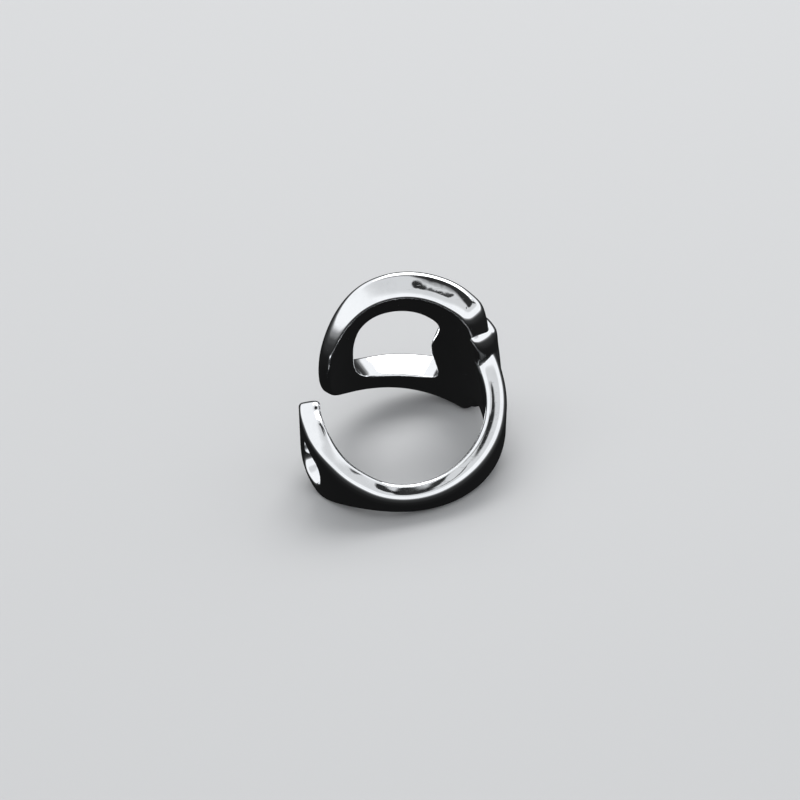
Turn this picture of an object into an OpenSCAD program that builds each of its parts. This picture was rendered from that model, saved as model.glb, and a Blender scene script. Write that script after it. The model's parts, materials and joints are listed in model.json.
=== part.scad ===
// Open cuff ring, cast in one piece: a big loop with a window, a strap folded
// around its bar, a narrow shank and a small loop at the other end.
// It is modelled lying at rest, millimetres, Z up.

/* [Finger hole] */
// Inside diameter of the ring
finger_d = 17; // [14:0.1:22]

/* [Big loop] */
// Full height of the big loop, along the finger
loop_h = 19.8; // [14:0.1:26]
// Wall of the big loop at its back
loop_t = 3.1; // [2:0.05:4]
// Full height of the window
window_h = 13.6; // [9:0.1:18]
// How much the loop's rims widen outwards, as a share of their height
loop_flare = 0.07; // [0:0.01:0.15]

/* [Shank] */
// Height of the shank where it is narrowest
shank_h = 2.4; // [1.6:0.1:4]
// Wall of the shank
shank_t = 2.25; // [1.4:0.05:3]

/* [Small loop] */
// Full height of the small loop
eye_h = 9.6; // [7:0.1:14]
// Full height of its slot
slot_h = 4.7; // [3:0.1:8]
// How much the slot widens outwards, as a share of its height
slot_spread = 0.4; // [0:0.05:0.6]
// Wall of the small loop
eye_t = 2.2; // [1.4:0.05:3]
// How far the small loop sits below the middle of the ring
eye_drop = 0.74; // [0:0.1:3]
// How far the slot sits below the middle of the small loop
slot_drop = 1.4; // [0:0.1:2]

/* [Strap fold] */
// How far the folded strap stands out from the big loop
fold_rise = 0.75; // [0.3:0.05:1.2]
// Full height of the folded strap
fold_h = 15; // [10:0.1:18]
// How much the strap's edges fall towards the outside, as a share of its height
fold_lean = 0.08; // [0:0.01:0.2]
// Rounding of the folded strap's edges
fold_edge_r = 1.1; // [0.2:0.05:1.4]
// How far the folded strap's edges swell between the finger hole and the outside
fold_crown = 0.5; // [0:0.05:0.8]

/* [Edges] */
// Rounding of the outer edges
edge_r = 0.8; // [0.3:0.05:1]
// Rounding of the edges along the finger hole
bore_edge_r = 0.25; // [0.1:0.05:0.5]
// Rounding of the outer edges of the window and the slot
hole_edge_r = 0.3; // [0.1:0.05:0.6]
// How far the shank's rims swell between the finger hole and the outside
rim_crown = 0.4; // [0:0.05:0.6]

/* [Hidden] */

bore_r = finger_d / 2;
mid_r = bore_r + shank_t / 2;
// The fold starts this far outside the finger hole
fold_lift = 0.06;
// The cast band reaches this far into the finger hole before it is reamed
bore_dip = 0.12;

// Window edge of the big loop, upper half, from its left end to the fold.
// Columns: angle round the ring, height as a share of half the window.
WINDOW = [
    [126.2, 0], [125.8, 0.28], [123.6, 0.54], [119.6, 0.74], [112, 0.89],
    [102, 0.97], [90, 1], [79, 0.98], [70.5, 0.91], [65.1, 0.79],
    [65.6, 0.55], [68.4, 0.28], [70, 0]
];

// Slot edge of the small loop, upper half, from the shank to the tip.
// Columns: angle round the ring, height as a share of half the slot.
SLOT = [
    [-143.5, 0], [-144.2, 0.46], [-147, 0.8], [-152.5, 0.95], [-159.5, 1],
    [-165.8, 0.62], [-167.2, 0]
];

// Middle line of the solid part, from the window's end to the slot's start.
// Column: angle round the ring. A section of the blank runs from each row of
// window, seam and slot to the same row of the outer outline.
SEAM = [70, 63, 55, 47, 39, 31, 21, 8, -6, -20, -35, -50, -65, -80, -94,
    -107, -119, -130, -143.5];

// Outer outline, upper half, from the big loop's left end to the tip.
// Columns: angle round the ring, half height in loop, shank and eye shares.
LOOP_EDGE = [
    [152.8, 0], [151.2, 0.26], [146.4, 0.46], [139, 0.61], [128.5, 0.75],
    [113, 0.885], [94, 0.97], [78, 1], [66, 1], [57, 0.985], [50, 0.96],
    [45, 0.94], [41.8, 0.9], [39.8, 0.835], [38, 0.745], [36.2, 0.64],
    [33.6, 0.53], [28, 0.41], [19, 0.355]
];
SHANK_EDGE = [
    [8, 2.7], [-6, 2.45], [-20, 2.25], [-35, 1.95], [-50, 1.58],
    [-65, 1.2], [-80, 1], [-94, 1], [-107, 1.3], [-119, 1.9]
];
EYE_EDGE = [
    [-129, 0.62], [-138, 0.78], [-146, 0.9], [-154.5, 0.98], [-163.5, 1],
    [-171.5, 0.955], [-179.8, 0.84], [-181.6, 0]
];

// Wall round the ring. Columns: angle, wall in mm.
WALL = [
    [-190, eye_t], [-120, eye_t + 0.1], [-90, shank_t], [0, shank_t],
    [20, shank_t + 0.05 * loop_t], [40, 0.93 * loop_t], [60, loop_t],
    [95, loop_t], [113, 0.93 * loop_t], [128, 0.78 * loop_t],
    [142, 0.6 * loop_t], [155, 0.5 * loop_t]
];

// Height of the middle line. Columns: angle, height in mm.
DRIFT = [
    [-190, -0.9 * eye_drop], [-170, -eye_drop], [-150, -eye_drop],
    [-138, -0.75 * eye_drop], [-125, -0.4 * eye_drop],
    [-110, -0.1 * eye_drop], [-95, 0], [15, 0], [28, 0.15], [40, 0.3],
    [56, 0.1], [70, 0], [95, 0.13], [120, 0.38], [160, 0.38]
];

// How far the slot's drop and spread reach. Columns: angle, share of each.
SLOT_PULL = [[-190, 0], [-180, 0.4], [-165, 1], [-145, 1], [-130, 0.3], [-118, 0]];

// Swell of the rims round the ring. Columns: angle, share of the rim's crown.
CROWN = [
    [-190, 0.3], [-172, 0.5], [-150, 0.75], [-115, 1], [-60, 1], [-10, 0.7],
    [20, 0.8], [29, 0.8], [35, 0.6], [42, 1], [48, 1], [58, 0.3], [160, 0.25]
];

// Rounding of the outer edges round the ring. Columns: angle, share of edge_r.
SOFTNESS = [[-190, 0.4], [-160, 0.4], [-146, 0.6], [-130, 1], [160, 1]];

// Spread of the rims between the bore and the outside. Columns: angle, share.
FLARE = [
    [-190, -0.12], [-155, -0.12], [-130, 0], [-20, 0], [20, 0.5 * loop_flare],
    [40, loop_flare], [120, loop_flare], [140, 0.3 * loop_flare], [160, 0]
];

// Folded strap, upper half, from the window to the shank.
// Columns: edge angle, edge height as a share of half the fold, inner angle.
FOLD = [
    [61, 0, 56], [60.6, 0.2, 55], [58.8, 0.43, 53.5], [55.4, 0.64, 51],
    [50.5, 0.82, 47.5], [45, 0.9, 43], [40.5, 0.91, 40], [36.6, 0.91, 36.6],
    [34, 0.895, 33.8], [32.1, 0.83, 32], [30.7, 0.74, 30.7], [29.7, 0.63, 29.3],
    [27.6, 0.54, 27.6], [23, 0.46, 24], [16.5, 0.3, 19], [14.8, 0, 17]
];

// Outside of the folded strap. Columns: angle, share of the rise.
FOLD_OUT = [
    [12, -0.8], [19, -0.05], [27, 0.35], [31, 0.7], [36, 1], [43, 1.05],
    [52, 0.85], [61, 0.55]
];

// Steps round the rounded edges
out_steps = [0, 0.12, 0.4, 0.7, 1];
bore_steps = [0, 0.35, 1];

function blend(table, x) = lookup(x, table);

// Smooth curve through evenly counted rows, with a mirrored or plain end
function row_at(t, i, flip) =
    i < 0 ? (flip ? [t[1][0], -t[1][1]] : 2 * t[0] - t[1])
    : i > len(t) - 1 ? (flip ? [t[len(t) - 2][0], -t[len(t) - 2][1]]
        : 2 * t[len(t) - 1] - t[len(t) - 2])
    : t[i];
function curve(t, s, flip) =
    let (i = min(floor(s), len(t) - 2), u = s - i,
        a = row_at(t, i - 1, flip), b = t[i], c = t[i + 1],
        d = row_at(t, i + 2, flip))
    0.5 * (2 * b + (c - a) * u + (2 * a - 5 * b + 4 * c - d) * u * u
        + (3 * b - a - 3 * c + d) * u * u * u);

window_edge = [for (r = WINDOW) [r[0], r[1] * window_h / 2]];
slot_edge = [for (r = SLOT) [r[0], r[1] * slot_h / 2]];
outline = [
    for (r = LOOP_EDGE) [r[0], r[1] * loop_h / 2],
    for (r = SHANK_EDGE) [r[0], r[1] * shank_h / 2],
    for (r = EYE_EDGE) [r[0], r[1] * eye_h / 2]
];
seam_line = [for (a = SEAM) [a, 0]];
win_end = len(WINDOW) - 1;
slot_start = win_end + len(SEAM) - 1;
last = slot_start + len(SLOT) - 1;

function inner_at(s) =
    s <= win_end ? curve(window_edge, s, true)
    : s < slot_start ? curve(seam_line, s - win_end, false)
    : curve(slot_edge, s - slot_start, true);
function outer_at(s) = curve(outline, s, true);

stations = [
    for (s = [0:1/3:win_end + 0.01]) s,
    for (u = [0.06, 0.16, 0.32, 0.6, 1, 1.4, 1.8, 2.2, 2.6, 3, 3.5, 4, 4.5])
        win_end + u,
    for (s = [win_end + 5:0.5:slot_start - 1.4]) s,
    for (u = [1, 0.66, 0.4, 0.22, 0.1, 0.04]) slot_start - u,
    for (s = [slot_start:1/3:last + 0.01]) s
];

// Flat metric map of angle and height
function flat(p) = [p[0] * PI / 180 * mid_r, p[1]];
function seg_dist(p, a, b) =
    let (v = b - a, n = v * v, u = n > 0 ? max(0, min(1, (p - a) * v / n)) : 0)
    norm(p - a - u * v);
function line_dist(p, line) =
    min([for (i = [0:len(line) - 2]) seg_dist(p, line[i], line[i + 1])]);
function near_line(s, lo, hi, kind) =
    [for (k = [-8:8]) let (q = max(lo, min(hi, s + k / 4)))
        flat(kind == 0 ? outer_at(q) : inner_at(q))];

// How much a rounded edge takes away at distance d from it
function edge_drop(d, r) = d >= r ? 0 : r * (1 - sqrt(max(0, 1 - pow(1 - d / r, 2))));

// Distances from one inner point to its outer point, denser at both edges
function cross_steps(w, r_in, r_out, steps, fill) = [
    for (k = steps) k * min(r_in, 0.42 * w),
    for (k = fill) k * w,
    for (i = [len(steps) - 1:-1:0]) w - steps[i] * min(r_out, 0.42 * w)
];

// Direction out of the blank at one place of an outline
function way_out(line, s, end) =
    let (t = s == 0 ? [0, 1] : s == end ? [0, -1]
        : flat(curve(line, min(s + 0.05, end), true))
            - flat(curve(line, max(s - 0.05, 0), true)))
    [t[1], -t[0]] / norm(t);
function crowned(p, way, swell) =
    let (k = (p[2] - bore_r) / blend(WALL, p[0]),
        d = swell * max(0, 1 - pow(2 * k - 1, 2)))
    [p[0] + d * way[0] / (mid_r * PI / 180), p[1] + d * way[1], p[2]];

function hole_lines(s) =
    s <= win_end + 2 ? near_line(min(s, win_end), 0, win_end, 1)
    : s >= slot_start - 2 ? near_line(max(s, slot_start), slot_start, last, 1)
    : [];
function flip_line(l) = [for (p = l) [p[0], -p[1]]];
function hole_dist(q, hole) =
    len(hole) > 0 ? min(line_dist(q, hole), line_dist(q, flip_line(hole))) : loop_h;

// One section of the band: the outside, the rim, then the bore back
function section(s) =
    let (a = inner_at(s), b = outer_at(s), w = norm(flat(b) - flat(a)),
        out = near_line(s, 0, last, 0), hole = hole_lines(s),
        way = way_out(outline, s, last), swell = rim_crown * blend(CROWN, b[0]),
        soft = edge_r * blend(SOFTNESS, b[0]),
        top = [for (d = cross_steps(w, hole_edge_r, soft, out_steps, [0.5]))
            let (p = a + (b - a) * d / w, e = line_dist(flat(p), out),
                h = hole_dist(flat(p), hole),
                q = [p[0], p[1], bore_r + blend(WALL, p[0]) - edge_drop(e, soft)
                    - edge_drop(h, hole_edge_r)])
            d > w / 2 ? crowned(q, way, swell) : q],
        low = [for (x = cross_steps(w, bore_edge_r, bore_edge_r, bore_steps, [0.3, 0.7]))
            let (p = b + (a - b) * x / w, e = line_dist(flat(p), out),
                h = hole_dist(flat(p), hole),
                q = [p[0], p[1], bore_r + edge_drop(e, bore_edge_r)
                    + edge_drop(h, bore_edge_r)
                    - (min(e, h) > 0.9 * bore_edge_r ? bore_dip : 0)])
            x < w / 2 ? crowned(q, way, swell) : q],
        r_top = bore_r + blend(WALL, b[0]) - soft, r_low = bore_r + bore_edge_r)
    concat(top,
        [for (k = [1, 2]) crowned([b[0], b[1], r_top + (r_low - r_top) * k / 3],
            way, swell)],
        low);

// Angle, height and radius to a point in space
function place(p) =
    let (k = (p[2] - bore_r) / blend(WALL, p[0]),
        q = min(1, abs(p[1]) / (eye_h / 2)),
        pull = blend(SLOT_PULL, p[0]) * (1 - q * q))
    [p[2] * cos(p[0]), p[2] * sin(p[0]),
        p[1] * (1 + (blend(FLARE, p[0]) + slot_spread * pull) * k)
            + blend(DRIFT, p[0]) - slot_drop * pull];
function place_fold(p) =
    let (k = (p[2] - bore_r) / blend(WALL, p[0]))
    [p[2] * cos(p[0]), p[2] * sin(p[0]),
        p[1] * (1 - fold_lean * k) + blend(DRIFT, p[0])];

// Faces between neighbouring sections; open[i] tells that a wall closes them
function skin(n, m, open, base, turn) = [
    for (i = [0:n - 2]) for (j = [0:m - 1]) if (j < m - 1 || open[i])
        let (a = base + i * m + j, b = base + i * m + (j + 1) % m,
            c = b + m, d = a + m)
        each (turn ? [[a, b, c], [a, c, d]] : [[a, c, b], [a, d, c]])
];

// Folded strap: sections from the window to the shank
fold_edge = [for (r = FOLD) [r[0], r[1] * fold_h / 2]];
fold_mid = [for (r = FOLD) [r[2], 0]];
fold_last = len(FOLD) - 1;
fold_line = [for (s = [0:0.25:fold_last]) flat(curve(fold_edge, s, true))];
function fold_top(x) = bore_r + blend(WALL, x) + fold_rise * blend(FOLD_OUT, x);
function fold_section(s) =
    let (a = curve(fold_mid, s, false), b = curve(fold_edge, s, true),
        w = norm(flat(b) - flat(a)), way = way_out(fold_edge, s, fold_last),
        r_top = fold_top(b[0]) - fold_edge_r,
        r_low = bore_r + fold_lift + bore_edge_r)
    concat(
        [for (d = cross_steps(w, fold_edge_r, fold_edge_r, out_steps, [0.35]))
            let (p = a + (b - a) * d / w, e = line_dist(flat(p), fold_line),
                q = [p[0], p[1], fold_top(p[0]) - edge_drop(e, fold_edge_r)])
            d > w / 2 ? crowned(q, way, fold_crown) : q],
        [for (k = [1, 2, 3]) crowned([b[0], b[1], r_top + (r_low - r_top) * k / 4],
            way, fold_crown)],
        [for (d = [w, w - bore_edge_r, 0.6 * w, 0])
            let (p = a + (b - a) * d / w)
            [p[0], p[1], bore_r + fold_lift + (d == w ? bore_edge_r : 0)]]
    );
fold_secs = [for (s = [0:0.5:fold_last]) fold_section(s)];
fold_open = [for (i = [0:len(fold_secs) - 2]) false];

band_secs = [for (s = stations) section(s)];
band_open = [for (i = [0:len(stations) - 2])
    stations[i + 1] <= win_end + 0.001 || stations[i] >= slot_start - 0.001];

function halves(secs) = concat([for (s = secs) each s],
    [for (s = secs) for (p = s) [p[0], -p[1], p[2]]]);
band_points = [for (p = halves(band_secs)) place(p)];
fold_points = [for (p = halves(fold_secs)) place_fold(p)];

module patch(secs, open, points) {
    n = len(secs);
    m = len(secs[0]);
    polyhedron(points = points,
        faces = concat(skin(n, m, open, 0, false),
            skin(n, m, open, n * m, true)), convexity = 6);
}

// The ring lies on three points: one of the big loop, one of the shank and
// one of the small loop. Each is the lowest point of its stretch.
low_points = [for (p = concat(band_points, fold_points)) if (p[2] < 0) p];
stretches = [[35, 150], [-100, 20], [-186, -105]];
function turn_of(p) = let (a = atan2(p[1], p[0])) a > 160 ? a - 360 : a;
stretch_points = [for (r = stretches)
    [for (p = low_points) if (turn_of(p) >= r[0] && turn_of(p) <= r[1]) p]];
function lowest(points, n) =
    let (h = [for (p = points) p * n], m = min(h))
    [for (i = [0:len(points) - 1]) if (h[i] == m) points[i]][0];
function unit(v) = v / norm(v);
function rest_normal(n, k) =
    k == 0 ? n
    : let (c = [for (g = stretch_points) lowest(g, n)],
        q = unit(cross(c[1] - c[0], c[2] - c[0])))
    rest_normal(q[2] < 0 ? -q : q, k - 1);
up_dir = rest_normal(unit([-0.1, 0.44, 0.89]), 6);
side_dir = unit([1, 0, 0] - up_dir[0] * up_dir);
back_dir = cross(up_dir, side_dir);
laid = [for (p = concat(band_points, fold_points))
    [p * side_dir, p * back_dir, p * up_dir]];
low_end = [for (k = [0:2]) min([for (p = laid) p[k]])];
high_end = [for (k = [0:2]) max([for (p = laid) p[k]])];
middle = (low_end + high_end) / 2;

module lay_down() {
    multmatrix([
        [side_dir[0], side_dir[1], side_dir[2], -middle[0]],
        [back_dir[0], back_dir[1], back_dir[2], -middle[1]],
        [up_dir[0], up_dir[1], up_dir[2], -low_end[2]],
        [0, 0, 0, 1]
    ]) children();
}

module ring_band() {
    color("silver") lay_down() difference() {
        union() {
            patch(band_secs, band_open, band_points);
            patch(fold_secs, fold_open, fold_points);
        }
        cylinder(h = 2 * loop_h, r = bore_r, center = true, $fn = 240);
    }
}

ring_band();
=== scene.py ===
"""Open cuff ring in mirror-polished silver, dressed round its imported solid.

The ring is made the way a silversmith would make it: a flat blank with a window and a slot is
rounded along every edge, bent round a mandrel, a strap is folded over its bar, and the joined
piece is polished. Bench sizes are millimetres; the finished piece is in metres.
"""

from __future__ import annotations

import json
import logging
import math
from collections.abc import Callable
from dataclasses import dataclass, field
from enum import Enum

import bmesh
import bpy
import numpy as np
from mathutils import Matrix, Vector
from mathutils.kdtree import KDTree


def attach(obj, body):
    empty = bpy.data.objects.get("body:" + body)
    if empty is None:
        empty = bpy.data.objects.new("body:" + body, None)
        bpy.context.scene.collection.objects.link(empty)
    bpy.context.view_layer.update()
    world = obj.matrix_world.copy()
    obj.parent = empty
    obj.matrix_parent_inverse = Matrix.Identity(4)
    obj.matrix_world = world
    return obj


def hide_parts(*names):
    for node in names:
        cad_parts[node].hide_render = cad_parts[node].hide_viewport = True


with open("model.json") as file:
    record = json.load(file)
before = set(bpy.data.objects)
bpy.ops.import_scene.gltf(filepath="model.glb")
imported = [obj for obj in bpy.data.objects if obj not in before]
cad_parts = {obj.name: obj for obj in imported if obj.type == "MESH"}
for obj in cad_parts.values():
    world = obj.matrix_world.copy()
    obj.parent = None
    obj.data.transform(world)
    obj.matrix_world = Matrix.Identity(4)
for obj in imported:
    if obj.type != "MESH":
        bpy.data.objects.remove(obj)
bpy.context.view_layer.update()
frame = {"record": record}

LOG = logging.getLogger("cuff_ring")
MM = 0.001
WELD_MM = 2e-4
FINE_ROWS = 30
ROW_STEP = 0.02
Rows = tuple[tuple[float, float], ...]
Colour = tuple[float, float, float]


class Half(Enum):
    """The two halves of the blank, above and below its middle line."""

    UPPER = 1
    LOWER = -1

    @property
    def flip(self) -> np.ndarray:
        """Factors that turn an upper (angle, height, radius) into this half's."""
        return np.array([1.0, float(self.value), 1.0])


@dataclass(frozen=True)
class CuffSizes:
    """Driving sizes of the ring, in millimetres.

    They are the solid's own, apart from a crisper fold edge, the share of the depth at which a
    rim peaks, and the polish that is taken off the outside.
    """

    finger_d: float = 17.0
    loop_h: float = 19.8
    loop_t: float = 3.1
    window_h: float = 13.6
    loop_flare: float = 0.07
    shank_h: float = 2.4
    shank_t: float = 2.25
    eye_h: float = 9.6
    slot_h: float = 4.7
    slot_spread: float = 0.4
    eye_t: float = 2.2
    eye_drop: float = 0.74
    slot_drop: float = 1.4
    fold_rise: float = 0.75
    fold_h: float = 15.0
    fold_lean: float = 0.08
    fold_edge_r: float = 0.8
    fold_crown: float = 0.5
    edge_r: float = 0.8
    bore_edge_r: float = 0.25
    hole_edge_r: float = 0.3
    rim_crown: float = 0.4
    crown_peak: float = 0.3
    fold_lift: float = 0.06
    polish: float = 0.015

    @property
    def bore_r(self) -> float:
        """Radius of the finger hole."""
        return self.finger_d / 2

    @property
    def mid_r(self) -> float:
        """Radius of the shank's middle, which sets the blank's length."""
        return self.bore_r + self.shank_t / 2


@dataclass(frozen=True)
class SoftTrack:
    """A value along the ring, given at a few angles and softened between them."""

    rows: Rows
    softness: float = 5.0
    step: float = 0.25

    def at(self, angles: np.ndarray) -> np.ndarray:
        """Reads the track.

        Args:
            angles: angles round the ring, in degrees.

        Returns:
            The softened value at each angle.
        """
        grid = np.arange(-260.0, 260.0, self.step)
        known = np.array(sorted(self.rows))
        plain = np.interp(grid, known[:, 0], known[:, 1])
        reach = int(4 * self.softness / self.step)
        spread = np.arange(-reach, reach + 1) * self.step / self.softness
        weight = np.exp(-0.5 * spread**2)
        soft = np.convolve(np.pad(plain, reach, mode="edge"), weight / weight.sum(), mode="valid")
        return np.interp(angles, grid, soft)


@dataclass(frozen=True)
class MirroredEdge:
    """A closed edge line drawn by its upper half, which starts and ends on the middle line."""

    upper: np.ndarray

    def at(self, places: np.ndarray) -> np.ndarray:
        """Points on the smooth closed line through the rows.

        Args:
            places: row numbers, whole or between two rows.

        Returns:
            One (angle, height) pair for each place.
        """
        lower = self.upper[-2:0:-1] * np.array([1.0, -1.0])
        points = np.concatenate([self.upper, lower])
        count = len(points)
        eye = np.eye(count)
        system = 4 * eye + np.roll(eye, 1, 0) + np.roll(eye, -1, 0)
        pull = np.roll(points, 1, 0) - 2 * points + np.roll(points, -1, 0)
        bend = np.linalg.solve(system, 6 * pull)
        first = np.floor(places).astype(int)
        u = (places - first)[:, None]
        a, b = first % count, (first + 1) % count
        flat = (1 - u) * points[a] + u * points[b]
        return flat + (((1 - u) ** 3 - (1 - u)) * bend[a] + (u**3 - u) * bend[b]) / 6

    def outward(self, places: np.ndarray, scale: np.ndarray) -> np.ndarray:
        """Directions square to the line, pointing out of the blank.

        Args:
            places: row numbers, whole or between two rows.
            scale: millimetres on the flat blank for a degree and for a height.

        Returns:
            One unit vector on the flat blank for each place.
        """
        run = (self.at(places + ROW_STEP) - self.at(places - ROW_STEP)) * scale
        out = np.stack([run[:, 1], -run[:, 0]], 1)
        return out / np.linalg.norm(out, axis=1)[:, None]


@dataclass(frozen=True)
class EdgeGauge:
    """Measures how far points of the flat blank lie from one closed edge line."""

    line: np.ndarray

    def read(self, points: np.ndarray) -> np.ndarray:
        """Distance to the line.

        Args:
            points: places on the flat blank, in millimetres.

        Returns:
            One distance for each place, in millimetres.
        """
        count = len(self.line)
        tree = KDTree(count)
        for i, (x, y) in enumerate(self.line):
            tree.insert((x, y, 0.0), i)
        tree.balance()
        near = np.array([tree.find((x, y, 0.0))[1] for x, y in points])
        best = np.full(len(points), np.inf)
        for shift in (-1, 0):
            a = self.line[(near + shift) % count]
            b = self.line[(near + shift + 1) % count]
            run = b - a
            t = ((points - a) * run).sum(1) / np.maximum((run * run).sum(1), 1e-12)
            gap = points - a - np.clip(t, 0, 1)[:, None] * run
            best = np.minimum(best, np.hypot(gap[:, 0], gap[:, 1]))
        return best


def rounding(distance: np.ndarray, radius: float) -> np.ndarray:
    """How much a rounded edge takes off.

    Args:
        distance: distance from the edge, in millimetres.
        radius: radius of the rounding.

    Returns:
        The depth that is taken off, from the radius at the edge to nothing.
    """
    inside = np.clip(1 - distance / radius, 0, 1)
    return radius * (1 - np.sqrt(1 - inside**2))


def arc_shares(count: int) -> np.ndarray:
    """Steps across a rounding, in shares of its radius, even along its arc."""
    return 1 - np.cos(np.linspace(0, math.pi / 2, count))


@dataclass(frozen=True)
class Profile:
    """How finely one cross-section of a sheet is cut, and the share that a rounding may take."""

    outer_arc: int = 10
    bore_arc: int = 6
    fill: int = 6
    rim: int = 7
    wall: int = 6
    most_round: float = 0.42

    def across(self, width: np.ndarray, inner: float, outer: float, arc: int) -> np.ndarray:
        """Distances from the inner point to the edge, dense at both ends.

        Args:
            width: length of each section, in millimetres.
            inner: rounding at the inner end.
            outer: rounding at the outer edge.
            arc: number of steps across each rounding.

        Returns:
            An array with a row for each section.
        """
        near = np.minimum(inner, self.most_round * width)[:, None]
        far = np.minimum(outer, self.most_round * width)[:, None]
        arcs = arc_shares(arc)[None, :]
        share = np.linspace(0, 1, self.fill + 2)[None, 1:-1]
        middle = near + share * (width[:, None] - near - far)
        return np.concatenate([arcs * near, middle, width[:, None] - (arcs * far)[:, ::-1]], 1)


@dataclass
class Blank:
    """A flat sheet as quads: places are (length, height, lift) in millimetres."""

    points: np.ndarray
    faces: list[tuple[int, ...]]

    def to_mesh(self, name: str) -> bpy.types.Mesh:
        """Makes the closed mesh of the flat blank.

        Args:
            name: name of the mesh.

        Returns:
            The mesh, with its halves welded and its faces pointing outwards.
        """
        mesh = bpy.data.meshes.new(name)
        mesh.from_pydata(self.points.tolist(), [], self.faces)
        work = bmesh.new()
        work.from_mesh(mesh)
        bmesh.ops.remove_doubles(work, verts=work.verts, dist=WELD_MM)
        loose = [v for v in work.verts if not v.link_faces]
        bmesh.ops.delete(work, geom=loose, context="VERTS")
        bmesh.ops.recalc_face_normals(work, faces=work.faces)
        open_edges = sum(1 for e in work.edges if not e.is_manifold)
        LOG.info("%s: %d faces, %d open edges", name, len(work.faces), open_edges)
        work.to_mesh(mesh)
        work.free()
        return mesh


def stitched(points: np.ndarray, settle: Callable[[np.ndarray], np.ndarray],
             spans: list[int]) -> Blank:
    """Joins both halves of a sheet by quads.

    Args:
        points: the upper half, as (section, column, angle-height-radius).
        settle: turns angles, heights and radii into places on the flat blank.
        spans: how many quads go across between each section and the next.

    Returns:
        The flat blank, with the lower half turned the other way round.
    """
    rows, columns = points.shape[:2]
    both: list[np.ndarray] = []
    faces: list[tuple[int, ...]] = []
    for half in Half:
        base = len(both) * rows * columns
        both.append(settle(points * half.flip))
        for i, span in enumerate(spans):
            for j in range(span):
                p = base + i * columns + j
                q = base + i * columns + (j + 1) % columns
                ring = (p, q, q + columns, p + columns)
                faces.append(ring if half is Half.UPPER else ring[::-1])
    return Blank(np.concatenate(both), faces)


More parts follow.
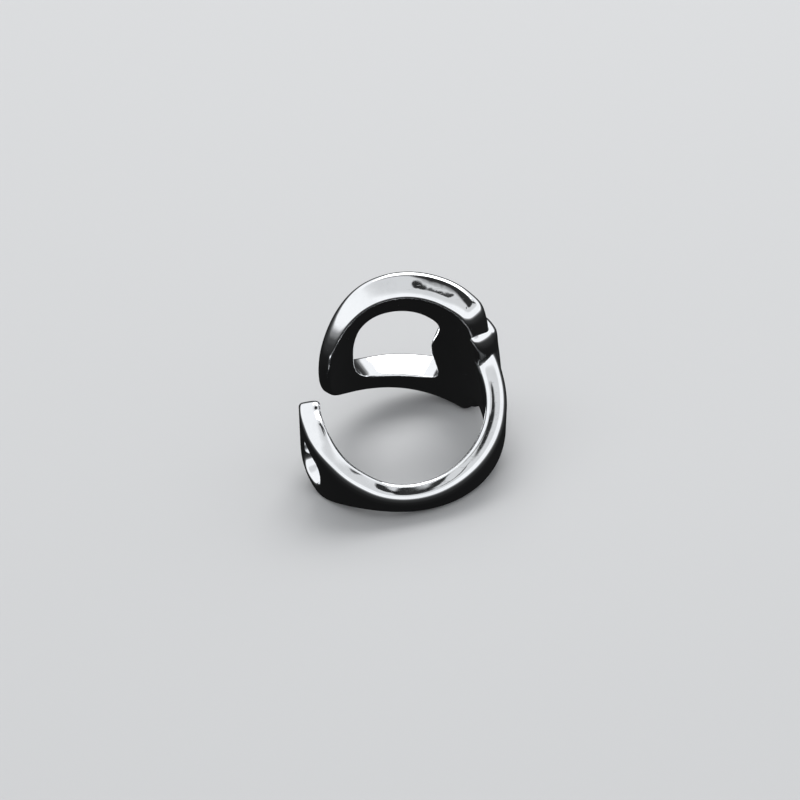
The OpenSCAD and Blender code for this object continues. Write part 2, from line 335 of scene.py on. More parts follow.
@dataclass
class RingForm:
    """The ring's run of wall, height, flare and rounding, shared by the band and the fold."""

    sizes: CuffSizes
    wall: SoftTrack = field(init=False)
    drift: SoftTrack = field(init=False)
    slot_pull: SoftTrack = field(init=False)
    crown: SoftTrack = field(init=False)
    crest: SoftTrack = field(init=False)
    flare: SoftTrack = field(init=False)
    softness: SoftTrack = field(init=False)

    def __post_init__(self) -> None:
        """Ties the tracks to the sizes."""
        z = self.sizes
        self.wall = SoftTrack((
            (-190, z.eye_t), (-120, z.eye_t + 0.1), (-90, z.shank_t), (0, z.shank_t),
            (20, z.shank_t + 0.05 * z.loop_t), (40, 0.93 * z.loop_t), (60, z.loop_t),
            (95, z.loop_t), (113, 0.93 * z.loop_t), (128, 0.78 * z.loop_t),
            (142, 0.6 * z.loop_t), (155, 0.5 * z.loop_t)))
        self.drift = SoftTrack((
            (-190, -0.9 * z.eye_drop), (-170, -z.eye_drop), (-150, -z.eye_drop),
            (-138, -0.75 * z.eye_drop), (-125, -0.4 * z.eye_drop), (-110, -0.1 * z.eye_drop),
            (-95, 0), (15, 0), (28, 0.15), (40, 0.3), (56, 0.1), (70, 0), (95, 0.13),
            (120, 0.38), (160, 0.38)))
        self.slot_pull = SoftTrack((
            (-190, 0), (-180, 0.4), (-165, 1), (-145, 1), (-130, 0.3), (-118, 0)))
        self.crown = SoftTrack((
            (-190, 0.3), (-172, 0.5), (-150, 0.75), (-115, 1), (-60, 1), (-10, 0.7), (20, 0.8),
            (29, 0.8), (35, 0.6), (42, 1), (48, 1), (58, 0.3), (160, 0.25)), softness=3.0)
        self.crest = SoftTrack((
            (-190, 2), (-145, 2), (-128, 3), (-112, 4), (-72, 4), (-52, 3), (-30, 2), (160, 2)))
        self.flare = SoftTrack((
            (-190, -0.12), (-155, -0.12), (-130, 0), (-20, 0), (20, 0.5 * z.loop_flare),
            (40, z.loop_flare), (120, z.loop_flare), (140, 0.3 * z.loop_flare), (160, 0)))
        self.softness = SoftTrack((
            (-190, 0.4), (-160, 0.4), (-146, 0.6), (-130, 1), (160, 1)))

    @property
    def scale(self) -> np.ndarray:
        """Millimetres on the flat blank for a degree round the ring, and for a height."""
        return np.array([math.radians(1) * self.sizes.mid_r, 1.0])

    def flat(self, places: np.ndarray) -> np.ndarray:
        """Angle and height as millimetres on the flat blank."""
        return places * self.scale

    def depth(self, angle: np.ndarray, radius: np.ndarray) -> np.ndarray:
        """How far into the wall a point lies, from the finger hole to the outside."""
        return (radius - self.sizes.bore_r) / self.wall.at(angle)

    def crowned(self, points: np.ndarray, way: np.ndarray, swell: np.ndarray) -> np.ndarray:
        """Swells a rim between the outside and the finger hole.

        Args:
            points: angles, heights and radii, a row for each section.
            way: each section's direction out of the flat blank.
            swell: how far the rim swells at half its depth, for each point.

        Returns:
            The points with their crown.
        """
        peak = self.sizes.crown_peak
        depth = self.depth(points[..., 0], points[..., 2])
        off = np.where(depth > peak, (depth - peak) / (1 - peak), (peak - depth) / peak)
        reach = swell * np.clip(1 - off ** self.crest.at(points[..., 0]), 0, 1)
        shift = reach[..., None] * way[:, None, :] / self.scale
        return np.concatenate([points[..., :2] + shift, points[..., 2:]], 2)

    def settle(self, points: np.ndarray) -> np.ndarray:
        """Gives the band's points their flare and drift, and the slot its drop and spread.

        Args:
            points: angles, heights above the middle line, and radii.

        Returns:
            Points of the flat blank: length along it, height, and lift above the hole's wall.
        """
        z = self.sizes
        angle, height, radius = points.reshape(-1, 3).T
        depth = self.depth(angle, radius)
        share = np.minimum(1, np.abs(height) / (z.eye_h / 2))
        pull = self.slot_pull.at(angle) * (1 - share**2)
        level = height * (1 + (self.flare.at(angle) + z.slot_spread * pull) * depth)
        level = level + self.drift.at(angle) - z.slot_drop * pull
        return np.stack([np.radians(angle) * z.mid_r, level, radius - z.bore_r], 1)

    def settle_fold(self, points: np.ndarray) -> np.ndarray:
        """Gives the strap's points their lean and drift, as settle does for the band.

        Args:
            points: angles, heights above the middle line, and radii.

        Returns:
            Points of the flat blank, as settle gives them.
        """
        z = self.sizes
        angle, height, radius = points.reshape(-1, 3).T
        level = height * (1 - z.fold_lean * self.depth(angle, radius)) + self.drift.at(angle)
        return np.stack([np.radians(angle) * z.mid_r, level, radius - z.bore_r], 1)


@dataclass
class CastBand:
    """The band: big loop with its window, shank, and small loop with its slot."""

    form: RingForm
    profile: Profile = Profile()
    window: Rows = (
        (126.2, 0), (125.8, 0.28), (123.6, 0.54), (119.6, 0.74), (112, 0.89), (102, 0.97),
        (90, 1), (79, 0.98), (70.5, 0.91), (65.1, 0.79), (65.6, 0.55), (68.4, 0.28), (70, 0))
    seam: tuple[float, ...] = (
        70, 63, 55, 47, 39, 31, 21, 8, -6, -20, -35, -50, -65, -80, -94, -107, -119, -130,
        -143.5)
    slot: Rows = (
        (-143.5, 0), (-144.2, 0.46), (-147, 0.8), (-152.5, 0.95), (-159.5, 1),
        (-165.8, 0.62), (-167.2, 0))
    loop_edge: Rows = (
        (152.8, 0), (151.2, 0.26), (146.4, 0.46), (139, 0.61), (128.5, 0.75), (113, 0.885),
        (94, 0.97), (78, 1), (66, 1), (57, 0.985), (50, 0.96), (45, 0.94), (41.8, 0.9),
        (39.8, 0.835), (38, 0.745), (36.2, 0.64), (33.6, 0.53), (28, 0.41), (19, 0.355))
    shank_edge: Rows = (
        (8, 2.7), (-6, 2.45), (-20, 2.25), (-35, 1.95), (-50, 1.58), (-65, 1.2), (-80, 1),
        (-94, 1), (-107, 1.3), (-119, 1.9))
    eye_edge: Rows = (
        (-129, 0.62), (-138, 0.78), (-146, 0.9), (-154.5, 0.98), (-163.5, 1),
        (-171.5, 0.955), (-179.8, 0.84), (-181.6, 0))
    spacing: float = 0.17
    fewest: int = 4
    probes: int = 12

    def scaled(self, rows: Rows, full: float) -> np.ndarray:
        """Rows with their shares turned into half heights."""
        return np.array(rows, float) * np.array([1.0, full / 2])

    @property
    def window_end(self) -> int:
        """Row number where the window ends and the solid bar starts."""
        return len(self.window) - 1

    @property
    def slot_start(self) -> int:
        """Row number where the slot starts."""
        return self.window_end + len(self.seam) - 1

    @property
    def last(self) -> int:
        """Row number of the small loop's tip."""
        return self.slot_start + len(self.slot) - 1

    def outline(self) -> MirroredEdge:
        """The outer edge line of the whole blank.

        Returns:
            The closed line, from the big loop's end to the small loop's tip and back.
        """
        z = self.form.sizes
        parts = [self.scaled(self.loop_edge, z.loop_h), self.scaled(self.shank_edge, z.shank_h),
                 self.scaled(self.eye_edge, z.eye_h)]
        return MirroredEdge(np.concatenate(parts))

    def inner(self, places: np.ndarray) -> np.ndarray:
        """Where each section starts: on the window, on the middle line or on the slot.

        Args:
            places: the sections' places along the edge lines.

        Returns:
            One (angle, height) pair for each section.
        """
        z = self.form.sizes
        window = MirroredEdge(self.scaled(self.window, z.window_h))
        slot = MirroredEdge(self.scaled(self.slot, z.slot_h))
        rows = np.arange(self.window_end, self.slot_start + 1)
        start = np.stack([np.interp(places, rows, self.seam), np.zeros_like(places)], 1)
        at_window = places <= self.window_end
        at_slot = places >= self.slot_start
        start[at_window] = window.at(places[at_window])
        start[at_slot] = slot.at(places[at_slot] - self.slot_start)
        start[np.isin(places, (0, self.window_end, self.slot_start, self.last)), 1] = 0
        return start

    def stations(self) -> np.ndarray:
        """Places of the sections, close enough for an even mesh.

        Returns:
            Row numbers along the edge lines, closer together where the middle line starts and
            ends.
        """
        outline = self.outline()
        cuts: list[np.ndarray] = []
        for row in range(self.last):
            fine = row + np.linspace(0, 1, self.probes)
            longest = max(
                np.linalg.norm(np.diff(self.form.flat(line), axis=0), axis=1).sum()
                for line in (outline.at(fine), self.inner(fine)))
            count = max(self.fewest, math.ceil(longest / self.spacing))
            u = np.arange(count) / count
            if row == self.window_end:
                u = (np.arange(2 * count) / (2 * count)) ** 2
            elif row == self.slot_start - 1:
                u = 1 - (1 - np.arange(2 * count) / (2 * count)) ** 2
            cuts.append(row + u)
        return np.append(np.concatenate(cuts), float(self.last))

    def gauges(self) -> tuple[EdgeGauge, list[EdgeGauge]]:
        """Gauges for the outer edge, and for the window and the slot.

        Returns:
            The outer edge's gauge, and a list with the window's and the slot's.
        """
        z = self.form.sizes
        fine = 1 / FINE_ROWS
        whole = self.outline().at(np.arange(0, 2 * self.last, fine))
        holes = [MirroredEdge(self.scaled(rows, full)).at(np.arange(0, 2 * (len(rows) - 1), fine))
                 for rows, full in ((self.window, z.window_h), (self.slot, z.slot_h))]
        return EdgeGauge(self.form.flat(whole)), [EdgeGauge(self.form.flat(h)) for h in holes]

    def sheet(self, places: np.ndarray) -> np.ndarray:
        """Angles, heights and radii of the upper half.

        Args:
            places: the sections' places along the edge lines.

        Returns:
            Points as (section, column, angle-height-radius).
        """
        z, cut = self.form.sizes, self.profile
        edge_line = self.outline()
        a, b = self.inner(places), edge_line.at(places)
        b[np.isin(places, (0, self.last)), 1] = 0
        width = np.linalg.norm(self.form.flat(b - a), axis=1)
        soft = z.edge_r * self.form.softness.at(b[:, 0])
        outer = cut.across(width, z.hole_edge_r, soft, cut.outer_arc) / width[:, None]
        bore = cut.across(width, z.bore_edge_r, z.bore_edge_r, cut.bore_arc) / width[:, None]
        bore = bore[:, ::-1]
        rim = np.ones((len(places), cut.rim))
        wall = np.zeros((len(places), cut.wall))
        share = np.concatenate([outer, rim, bore, wall], 1)
        spot = a[:, None, :] + share[..., None] * (b - a)[:, None, :]
        flat = self.form.flat(spot).reshape(-1, 2)
        outside, holes = self.gauges()
        edge = outside.read(flat).reshape(share.shape)
        hole = np.min([gauge.read(flat) for gauge in holes], axis=0).reshape(share.shape)
        last_outer, first_bore = outer.shape[1], outer.shape[1] + cut.rim
        edge[:, last_outer - 1], edge[:, first_bore] = 0, 0
        on_hole = (places <= self.window_end) | (places >= self.slot_start)
        hole[on_hole, 0], hole[on_hole, first_bore + bore.shape[1] - 1] = 0, 0
        top = z.bore_r + self.form.wall.at(spot[..., 0]) - z.polish
        radius = top - rounding(edge, soft[:, None]) - rounding(hole, z.hole_edge_r)
        under = z.bore_r + rounding(edge, z.bore_edge_r) + rounding(hole, z.bore_edge_r)
        radius[:, first_bore:] = under[:, first_bore:]
        for start, stop, count in ((last_outer - 1, first_bore, cut.rim),
                                   (first_bore + bore.shape[1] - 1, 0, cut.wall)):
            step = np.linspace(0, 1, count + 2)[None, 1:-1]
            run = radius[:, [start]] + step * (radius[:, [stop]] - radius[:, [start]])
            radius[:, start + 1:start + 1 + count] = run
        swell = np.where(share > 0.5, z.rim_crown * self.form.crown.at(b[:, :1]), 0.0)
        points = np.concatenate([spot, radius[..., None]], 2)
        return self.form.crowned(points, edge_line.outward(places, self.form.scale), swell)

    def blank(self) -> Blank:
        """Builds both halves of the flat blank.

        Returns:
            The blank, with walls round the window and the slot and none along the middle line.
        """
        places = self.stations()
        points = self.sheet(places)
        middle = (places == 0) | (places == self.last)
        points[middle, :, 1] = 0
        on_seam = (places >= self.window_end) & (places <= self.slot_start)
        columns = points.shape[1]
        sheet_columns = columns - self.profile.wall
        points[on_seam, 0, 1] = 0
        points[on_seam, sheet_columns - 1:, 1] = 0
        walled = (places[1:] <= self.window_end) | (places[:-1] >= self.slot_start)
        spans = [columns if closed else sheet_columns - 1 for closed in walled]
        return stitched(points, self.form.settle, spans)


@dataclass
class StrapFold:
    """The strap folded over the bar between the big loop and the shank."""

    form: RingForm
    profile: Profile = Profile(outer_arc=9, bore_arc=4, fill=14, rim=5, wall=0)
    rows: tuple[tuple[float, float, float], ...] = (
        (61, 0, 56), (60.6, 0.2, 55), (58.8, 0.43, 53.5), (55.4, 0.64, 51), (50.5, 0.82, 47.5),
        (45, 0.9, 43), (40.5, 0.91, 40), (36.6, 0.91, 36.6), (34, 0.895, 33.8),
        (32.1, 0.83, 32), (30.7, 0.74, 30.7), (29.7, 0.63, 29.3), (27.6, 0.54, 27.6),
        (23, 0.46, 24), (16.5, 0.3, 19), (14.8, 0, 17))
    outside: SoftTrack = SoftTrack((
        (12, -0.8), (19, -0.05), (27, 0.35), (31, 0.7), (36, 1), (43, 1.05), (52, 0.85),
        (61, 0.55)), softness=2.5)
    cuts: int = 9

    def sheet(self) -> np.ndarray:
        """Angles, heights and radii of the upper half.

        Returns:
            Points as (section, column, angle-height-radius).
        """
        z, cut = self.form.sizes, self.profile
        table = np.array(self.rows)
        last = len(table) - 1
        line = MirroredEdge(table[:, :2] * np.array([1.0, z.fold_h / 2]))
        places = np.linspace(0, last, last * self.cuts + 1)
        b = line.at(places)
        b[[0, -1], 1] = 0
        middle = SoftTrack(tuple(zip(range(last + 1), table[:, 2])), softness=0.4, step=0.02)
        a = np.stack([middle.at(places), np.zeros_like(places)], 1)
        width = np.linalg.norm(self.form.flat(b - a), axis=1)
        outer = cut.across(width, z.fold_edge_r, z.fold_edge_r, cut.outer_arc) / width[:, None]
        bore = cut.across(width, z.bore_edge_r, z.bore_edge_r, cut.bore_arc) / width[:, None]
        share = np.concatenate([outer, np.ones((len(places), cut.rim)), bore[:, ::-1]], 1)
        spot = a[:, None, :] + share[..., None] * (b - a)[:, None, :]
        gauge = EdgeGauge(self.form.flat(line.at(np.arange(0, 2 * last, 1 / FINE_ROWS))))
        edge = gauge.read(self.form.flat(spot).reshape(-1, 2)).reshape(share.shape)
        stop, first = outer.shape[1] - 1, outer.shape[1] + cut.rim
        edge[:, stop], edge[:, first] = 0, 0
        top = z.bore_r + self.form.wall.at(spot[..., 0]) - z.polish
        radius = top + z.fold_rise * self.outside.at(spot[..., 0]) - rounding(edge, z.fold_edge_r)
        under = z.bore_r + z.fold_lift + rounding(edge, z.bore_edge_r)
        radius[:, first:] = under[:, first:]
        step = np.linspace(0, 1, cut.rim + 2)[None, 1:-1]
        run = radius[:, [stop]] + step * (radius[:, [first]] - radius[:, [stop]])
        radius[:, stop + 1:first] = run
        swell = np.where(share > 0.5, z.fold_crown, 0.0)
        points = np.concatenate([spot, radius[..., None]], 2)
        points = self.form.crowned(points, line.outward(places, self.form.scale), swell)
        points[[0, -1], :, 1] = 0
        return points

    def blank(self) -> Blank:
        """Builds both halves of the flat strap, which is solid right across."""
        points = self.sheet()
        rows, columns = points.shape[:2]
        return stitched(points, self.form.settle_fold, [columns - 1] * (rows - 1))


@dataclass
class NodeBench:
    """Small help for wiring node trees."""

    tree: bpy.types.NodeTree

    def add(self, kind: str, operation: str = "", **values: object) -> bpy.types.Node:
        """Adds a node and sets its unlinked inputs.

        Args:
            kind: the node's type name.
            operation: what a maths node does, where it is one.
            values: property names with their values, or inputs as i0, i1 and so on.

        Returns:
            The new node.
        """
        node = self.tree.nodes.new(kind)
        if operation:
            node.operation = operation
        for name, value in values.items():
            if name[0] == "i" and name[1:].isdigit():
                self.feed(node, int(name[1:]), value)
            else:
                setattr(node, name, value)
        return node

    def feed(self, node: bpy.types.Node, place: int | str, value: object) -> None:
        """Links or sets one input of a node.

        Args:
            node: the node.
            place: the input's number or name.
            value: a socket to link, or a plain value to set.
        """
        if isinstance(value, bpy.types.NodeSocket):
            self.tree.links.new(value, node.inputs[place])
        else:
            node.inputs[place].default_value = value

    def between(self, value: bpy.types.NodeSocket, given: tuple[float, float],
                wanted: tuple[float, float]) -> bpy.types.NodeSocket:
        """Maps one range of values onto another.

        Args:
            value: the socket that is mapped.
            given: the range it is read in.
            wanted: the range it is turned into.

        Returns:
            The mapped value's socket.
        """
        node = self.add("ShaderNodeMapRange", i0=value, i1=given[0], i2=given[1], i3=wanted[0],
                        i4=wanted[1])
        return node.outputs[0]


@dataclass(frozen=True)
class Relief:
    """A fine relief that only the light shows: its depth and how much of it counts."""

    depth_mm: float
    strength: float

    def raised(self, bench: NodeBench, height: bpy.types.NodeSocket,
               normal: bpy.types.NodeSocket | None, sunk: bool = False) -> bpy.types.NodeSocket:
        """Raises or sinks the relief.

        Args:
            bench: the material's node bench.
            height: the relief's height, from nothing to one.
            normal: the surface under it, where another relief lies there.
            sunk: whether it goes in instead of out.

        Returns:
            The surface with the relief.
        """
        bump = bench.add("ShaderNodeBump", invert=sunk)
        bench.feed(bump, "Strength", self.strength)
        bench.feed(bump, "Distance", self.depth_mm * MM)
        bench.feed(bump, "Height", height)
        if normal is not None:
            bench.feed(bump, "Normal", normal)
        return bump.outputs[0]


@dataclass
class MandrelBend:
    """Bends a flat blank round the mandrel with a geometry node tree."""

    sizes: CuffSizes
    material: bpy.types.Material

    def tree(self) -> tuple[bpy.types.NodeTree, dict[str, str]]:
        """Builds the bending tree.

        Returns:
            The tree, and each named input's identifier.
        """
        tree = bpy.data.node_groups.new("bend_round_mandrel", "GeometryNodeTree")
        face = tree.interface
        face.new_socket("Blank", in_out="INPUT", socket_type="NodeSocketGeometry")
        names = {}
        for name in ("Mandrel Radius", "Blank Radius"):
            names[name] = face.new_socket(
                name, in_out="INPUT", socket_type="NodeSocketFloat").identifier
        names["Finish"] = face.new_socket(
            "Finish", in_out="INPUT", socket_type="NodeSocketMaterial").identifier
        face.new_socket("Ring", in_out="OUTPUT", socket_type="NodeSocketGeometry")
        bench = NodeBench(tree)
        given = bench.add("NodeGroupInput")
        place = bench.add("GeometryNodeInputPosition")
        spot = bench.add("ShaderNodeSeparateXYZ", i0=place.outputs[0])
        angle = bench.add("ShaderNodeMath", "DIVIDE", i0=spot.outputs[0], i1=given.outputs[2])
        reach = bench.add("ShaderNodeMath", "ADD", i0=spot.outputs[2], i1=given.outputs[1])
        cosine = bench.add("ShaderNodeMath", "COSINE", i0=angle.outputs[0])
        sine = bench.add("ShaderNodeMath", "SINE", i0=angle.outputs[0])
        across = bench.add("ShaderNodeMath", "MULTIPLY", i0=reach.outputs[0], i1=cosine.outputs[0])
        away = bench.add("ShaderNodeMath", "MULTIPLY", i0=reach.outputs[0], i1=sine.outputs[0])
        bent = bench.add("ShaderNodeCombineXYZ", i0=across.outputs[0], i1=away.outputs[0],
                         i2=spot.outputs[1])
        moved = bench.add("GeometryNodeSetPosition", i0=given.outputs[0], i2=bent.outputs[0])
        real = bench.add("GeometryNodeRealizeInstances", i0=moved.outputs[0])
        dressed = bench.add("GeometryNodeSetMaterial", i0=real.outputs[0], i2=given.outputs[3])
        done = bench.add("NodeGroupOutput")
        bench.feed(done, 0, dressed.outputs[0])
        return tree, names

    def bend(self, blank: Blank, name: str) -> bpy.types.Object:
        """Bends one blank.

        Args:
            blank: the flat sheet.
            name: name of the bent piece.

        Returns:
            An object with the plain bent mesh, still on the bench in millimetres.
        """
        piece = bpy.data.objects.new(name, blank.to_mesh(name))
        bpy.context.scene.collection.objects.link(piece)
        tree, names = self.tree()
        modifier = piece.modifiers.new("bend", "NODES")
        modifier.node_group = tree
        modifier[names["Mandrel Radius"]] = self.sizes.bore_r
        modifier[names["Blank Radius"]] = self.sizes.mid_r
        modifier[names["Finish"]] = self.material
        return settled(piece, modifier)


def settled(piece: bpy.types.Object, modifier: bpy.types.Modifier) -> bpy.types.Object:
    """Turns a modifier's result into the piece's own plain mesh.

    Args:
        piece: the object that is evaluated.
        modifier: its modifier, which is removed.

    Returns:
        The same object with the plain mesh.
    """
    bpy.context.view_layer.update()
    made = piece.evaluated_get(bpy.context.evaluated_depsgraph_get())
    mesh = bpy.data.meshes.new_from_object(made)
    piece.modifiers.remove(modifier)
    piece.data = mesh
    return piece


@dataclass
class OpenCuff:
    """The whole ring: band and strap fold, fused, laid at rest and polished."""

    sizes: CuffSizes
    material: bpy.types.Material
    crease: float = math.radians(38)

    def rest(self) -> Matrix:
        """Where the ring lies: its finger hole's place and lean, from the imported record.

        Returns:
            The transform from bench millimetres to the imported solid's frame.
        """
        hole = next(m for m in frame["record"]["mounts"] if m["name"] == "finger_hole")
        axis = Vector(hole["axis"]).normalized()
        side = Vector((axis.z, 0.0, -axis.x)).normalized()
        back = axis.cross(side)
        turn = Matrix((side, back, axis)).transposed().to_4x4()
        return Matrix.Translation(hole["pos_m"]) @ turn @ Matrix.Scale(MM, 4)

    def fuse(self, band: bpy.types.Object, fold: bpy.types.Object) -> bpy.types.Object:
        """Joins the strap to the band as one closed body.

        Args:
            band: the bent band, which is kept.
            fold: the bent strap, which is removed.

        Returns:
            The band with the strap in its mesh.
        """
        modifier = band.modifiers.new("solder", "BOOLEAN")
        modifier.operation = "UNION"
        modifier.solver = "EXACT"
        modifier.object = fold
        whole = settled(band, modifier)
        bpy.data.objects.remove(fold)
        return whole

    def build(self) -> bpy.types.Object:
        """Makes the ring and lays it down.

        Returns:
            The finished piece, in metres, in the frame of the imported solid.
        """
        form = RingForm(self.sizes)
        bench = MandrelBend(self.sizes, self.material)
        band = bench.bend(CastBand(form).blank(), "silver_cuff")
        fold = bench.bend(StrapFold(form).blank(), "strap_fold")
        ring = self.fuse(band, fold)
        ring.data.transform(self.rest())
        for polygon in ring.data.polygons:
            polygon.use_smooth = True
        ring.data.set_sharp_from_angle(angle=self.crease)
        ring.data.materials.clear()
        ring.data.materials.append(self.material)
        return ring


@dataclass(frozen=True)
class PolishedSilver:
    """Mirror-polished silver with a light haze, hairline scratches and soft casting waves."""

    tone: Colour = (0.93, 0.94, 0.955)
    worn_tone: Colour = (0.86, 0.87, 0.885)
    gloss: tuple[float, float] = (0.035, 0.11)
    scratch_rough: float = 0.12
    haze_mm: float = 3.125
    haze_range: tuple[float, float] = (0.42, 0.72)
    wave_mm: float = 2.2
    wave: Relief = Relief(depth_mm=0.035, strength=0.35)
    grain_mm: float = 0.35
    grain: Relief = Relief(depth_mm=0.0025, strength=0.3)
    scratch: Relief = Relief(depth_mm=0.003, strength=0.35)
    scratch_angles: tuple[float, ...] = (0.35, 1.3, 2.4)
    scratch_range: tuple[float, float] = (0.71, 0.76)
    scratch_stretch: tuple[float, float, float] = (0.25, 9.0, 9.0)

    def make(self) -> bpy.types.Material:
        """Builds the node material.

        Returns:
            The material, on Object coordinates.
        """
        material = bpy.data.materials.new("polished_silver")
        material.use_nodes = True
        material.node_tree.nodes.clear()
        bench = NodeBench(material.node_tree)
        place = bench.add("ShaderNodeTexCoord").outputs["Object"]
        local = bench.add("ShaderNodeVectorMath", "SCALE", i0=place)
        bench.feed(local, "Scale", 1 / MM)
        spot = local.outputs[0]
        haze = bench.add("ShaderNodeTexNoise", i0=spot, i2=1 / self.haze_mm, i3=5.0, i4=0.6)
        grain = bench.add("ShaderNodeTexNoise", i0=spot, i2=1 / self.grain_mm, i3=3.0)
        wave = bench.add("ShaderNodeTexNoise", i0=spot, i2=1 / self.wave_mm, i3=2.0)
        scratches = self.scratches(bench, spot)
        smudge = bench.between(haze.outputs[0], self.haze_range, (0.0, 1.0))
        tint = bench.add("ShaderNodeMix", data_type="RGBA", i0=smudge, i6=(*self.tone, 1),
                         i7=(*self.worn_tone, 1))
        dull = bench.between(smudge, (0.0, 1.0), self.gloss)
        rough = bench.add("ShaderNodeMath", "MULTIPLY_ADD", i0=scratches, i1=self.scratch_rough,
                          i2=dull)
        normal = self.wave.raised(bench, wave.outputs[0], None)
        normal = self.grain.raised(bench, grain.outputs[0], normal)
        normal = self.scratch.raised(bench, scratches, normal, sunk=True)
        shader = bench.add("ShaderNodeBsdfPrincipled")
        bench.feed(shader, "Metallic", 1.0)
        bench.feed(shader, "Base Color", tint.outputs[2])
        bench.feed(shader, "Roughness", rough.outputs[0])
        bench.feed(shader, "Normal", normal)
        bench.feed(bench.add("ShaderNodeOutputMaterial"), "Surface", shader.outputs[0])
        return material

    def scratches(self, bench: NodeBench, spot: bpy.types.NodeSocket) -> bpy.types.NodeSocket:
        """Hairline scratches in a few directions.

        Args:
            bench: the material's node bench.
            spot: position on the ring, in millimetres.

        Returns:
            A socket that is one on a scratch and nothing beside it.
        """
        total: bpy.types.NodeSocket | None = None
        for number, angle in enumerate(self.scratch_angles):
            turned = bench.add("ShaderNodeMapping", i0=spot, i1=(number * 7.3, number * 3.1, 0.0),
                               i2=(angle, 0.6 * angle, 1.7 * angle), i3=self.scratch_stretch)
            lines = bench.add("ShaderNodeTexNoise", i0=turned.outputs[0], i2=1.0, i3=2.0)
            thin = bench.between(lines.outputs[0], self.scratch_range, (0.0, 1.0))
            if total is None:
                total = thin
            else:
                total = bench.add("ShaderNodeMath", "MAXIMUM", i0=total, i1=thin).outputs[0]
        return total


@dataclass(frozen=True)
class PaleFloor:
    """A plain pale floor that the ring lies on, left out of the silver's reflections."""

    reach: float = 3.0
    tone: Colour = (0.55, 0.553, 0.558)
    roughness: float = 0.85

    def build(self) -> bpy.types.Object:
        """Lays the floor and keeps it out of the silver's reflections.

        Returns:
            The floor, which the silver doesn't mirror.
        """
        mesh = bpy.data.meshes.new("floor")
        r = self.reach
        mesh.from_pydata([(-r, -r, 0), (r, -r, 0), (r, r, 0), (-r, r, 0)], [], [(0, 1, 2, 3)])
        floor = bpy.data.objects.new("floor", mesh)
        bpy.context.scene.collection.objects.link(floor)
        material = bpy.data.materials.new("pale_floor")
        material.use_nodes = True
        shader = material.node_tree.nodes["Principled BSDF"]
        shader.inputs["Base Color"].default_value = (*self.tone, 1)
        shader.inputs["Roughness"].default_value = self.roughness
        mesh.materials.append(material)
        floor.visible_glossy = False
        return floor


@dataclass(frozen=True)
class SightSlot:
    """A dark opening in the light tent: where it is, and how far it reaches each way."""

    way: tuple[float, float, float]
    reach: tuple[float, float, float]


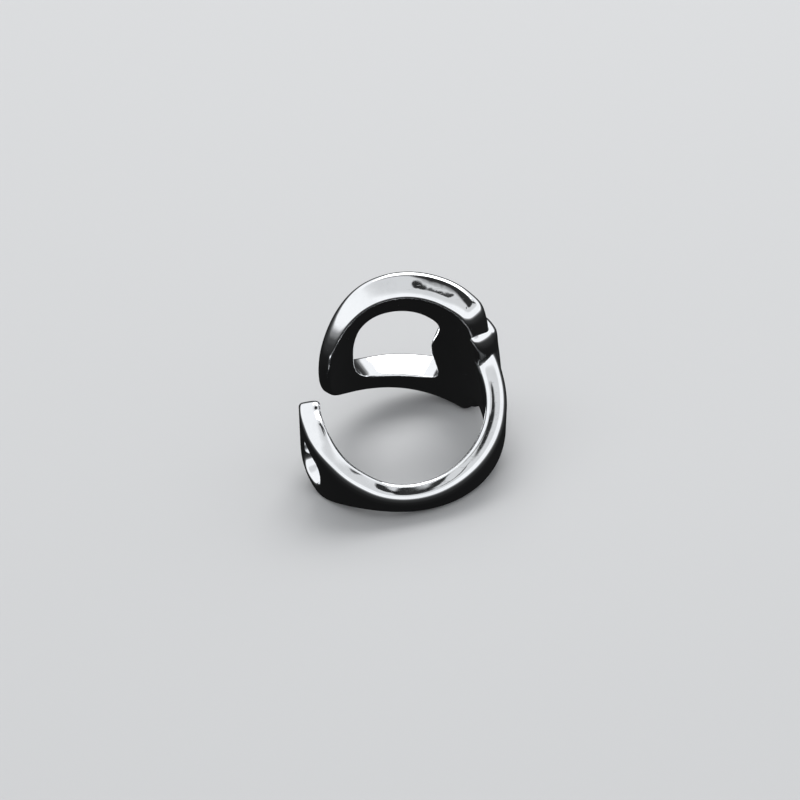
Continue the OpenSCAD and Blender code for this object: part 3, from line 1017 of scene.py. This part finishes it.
@dataclass(frozen=True)
class LightTent:
    """Soft light from above with four dark sight slots, dark round the sides and below.

    Levels are the cloth's brightness by height, from straight down at -1 to straight up at 1.
    """

    levels: Rows = ((-1.0, 0.008), (-0.6, 0.012), (-0.15, 0.035), (0.05, 0.07), (0.2, 0.26),
                    (0.36, 1.0), (0.86, 1.0), (0.98, 0.7))
    lean: tuple[float, float] = (0.2, -0.22)
    slots: tuple[SightSlot, ...] = (
        SightSlot((0.142, -0.15, 0.977), (0.15, 0.21, 0.6)),
        SightSlot((0.39, -0.1, 0.915), (0.18, 0.07, 0.6)),
        SightSlot((-0.05, -0.11, 0.99), (0.12, 0.06, 0.6)),
        SightSlot((0.004, -0.345, 0.938), (0.024, 0.06, 0.6)))
    slot_ragged: float = 0.4
    slot_folds: float = 9.0
    slot_fade: float = 1.25
    slot_level: float = 0.04
    cloth_tone: Colour = (0.97, 0.985, 1.0)
    backdrop_tone: Colour = (0.6, 0.6, 0.6)
    lamp_power: float = 1.6
    lamp_size: float = 0.4
    lamp_place: tuple[float, float, float] = (0.068, 0.26, 0.47)

    def build(self) -> None:
        """Sets the world and hangs the soft lamp."""
        world = bpy.data.worlds.new("light_tent")
        bpy.context.scene.world = world
        world.use_nodes = True
        world.node_tree.nodes.clear()
        bench = NodeBench(world.node_tree)
        way = bench.add("ShaderNodeTexCoord").outputs["Generated"]
        cloth = bench.add("ShaderNodeBackground", i0=self.cloth(bench, way),
                          i1=self.openings(bench, way))
        backdrop = bench.add("ShaderNodeBackground", i0=(*self.backdrop_tone, 1), i1=1.0)
        path = bench.add("ShaderNodeLightPath")
        mix = bench.add("ShaderNodeMixShader", i0=path.outputs["Is Camera Ray"],
                        i1=cloth.outputs[0], i2=backdrop.outputs[0])
        bench.add("ShaderNodeOutputWorld", i0=mix.outputs[0])
        lamp = bpy.data.lights.new("soft_lamp", "AREA")
        lamp.energy = self.lamp_power
        lamp.size = self.lamp_size
        holder = bpy.data.objects.new("soft_lamp", lamp)
        holder.location = self.lamp_place
        holder.rotation_euler = Vector(self.lamp_place).to_track_quat("Z", "Y").to_euler()
        bpy.context.scene.collection.objects.link(holder)

    def cloth(self, bench: NodeBench, way: bpy.types.NodeSocket) -> bpy.types.NodeSocket:
        """The cloth's brightness from the ground up to the top.

        Args:
            bench: the world's node bench.
            way: the direction that is looked along.

        Returns:
            A colour socket.
        """
        tilt = bench.add("ShaderNodeVectorMath", "DOT_PRODUCT", i0=way, i1=(*self.lean, 1.0))
        height = bench.between(tilt.outputs["Value"], (-1.0, 1.0), (0.0, 1.0))
        ramp = bench.add("ShaderNodeValToRGB", i0=height)
        ramp.color_ramp.interpolation = "EASE"
        line = ramp.color_ramp.elements
        while len(line) < len(self.levels):
            line.new(0.5)
        for stop, (place, level) in zip(line, self.levels):
            stop.position = (place + 1) / 2
            stop.color = (*(level * part for part in self.cloth_tone), 1)
        return ramp.outputs[0]

    def openings(self, bench: NodeBench, way: bpy.types.NodeSocket) -> bpy.types.NodeSocket:
        """The dark sight slots.

        Args:
            bench: the world's node bench.
            way: the direction that is looked along.

        Returns:
            A socket that is almost nothing inside a slot and one outside all of them.
        """
        folds = bench.add("ShaderNodeTexNoise", i0=way, i2=self.slot_folds, i3=3.0).outputs[0]
        left: bpy.types.NodeSocket | float = 1.0
        for slot in self.slots:
            centred = bench.add("ShaderNodeVectorMath", "SUBTRACT", i0=way, i1=slot.way)
            shares = bench.add("ShaderNodeVectorMath", "DIVIDE", i0=centred.outputs[0],
                               i1=slot.reach)
            reach = bench.add("ShaderNodeVectorMath", "LENGTH", i0=shares.outputs[0])
            edge = bench.add("ShaderNodeMath", "MULTIPLY_ADD", i0=folds, i1=self.slot_ragged,
                             i2=reach.outputs["Value"])
            clear = bench.between(edge.outputs[0], (1.0, self.slot_fade), (self.slot_level, 1.0))
            left = bench.add("ShaderNodeMath", "MULTIPLY", i0=clear, i1=left).outputs[0]
        return left


@dataclass(frozen=True)
class PhotoCamera:
    """The photograph's view: how the finger hole is seen, in an 800 pixel square frame."""

    frame_px: float = 800.0
    focal_px: float = 4057.0
    distance_mm: float = 420.0
    rise_deg: float = 61.5
    centre_px: tuple[float, float] = (402.6, 416.46)
    sensor_mm: float = 36.0
    near_mm: float = 10.0

    def build(self, rest: Matrix) -> bpy.types.Object:
        """Sets the camera from the ring's own place.

        Args:
            rest: the ring's rest transform, from bench millimetres to the frame.

        Returns:
            The camera object.
        """
        turn = rest.to_3x3().normalized()
        rise = math.radians(self.rise_deg)
        back = turn @ Vector((0.0, -math.cos(rise), math.sin(rise)))
        up = turn @ Vector((0.0, math.sin(rise), math.cos(rise)))
        right = up.cross(back)
        reach = self.distance_mm * MM
        px = reach / self.focal_px
        aim = rest.translation.copy()
        aim -= right * (self.centre_px[0] - self.frame_px / 2) * px
        aim += up * (self.centre_px[1] - self.frame_px / 2) * px
        data = bpy.data.cameras.new("photo_camera")
        data.sensor_width = self.sensor_mm
        data.lens = self.sensor_mm * self.focal_px / self.frame_px
        data.clip_start = self.near_mm * MM
        camera = bpy.data.objects.new("photo_camera", data)
        camera.matrix_world = Matrix.Translation(aim + back * reach) @ Matrix(
            (right, up, back)).transposed().to_4x4()
        bpy.context.scene.collection.objects.link(camera)
        bpy.context.scene.camera = camera
        return camera


def main() -> None:
    """Builds the ring, the floor, the light and the camera."""
    logging.basicConfig(level=logging.INFO, format="%(name)s: %(message)s")
    bpy.context.scene.view_settings.view_transform = "Standard"
    cuff = OpenCuff(CuffSizes(), PolishedSilver().make())
    ring = cuff.build()
    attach(ring, "root")
    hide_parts("ring_band")
    LOG.info("%s: %d faces", ring.name, len(ring.data.polygons))
    PaleFloor().build()
    LightTent().build()
    PhotoCamera().build(cuff.rest())


if __name__ == "__main__":
    main()
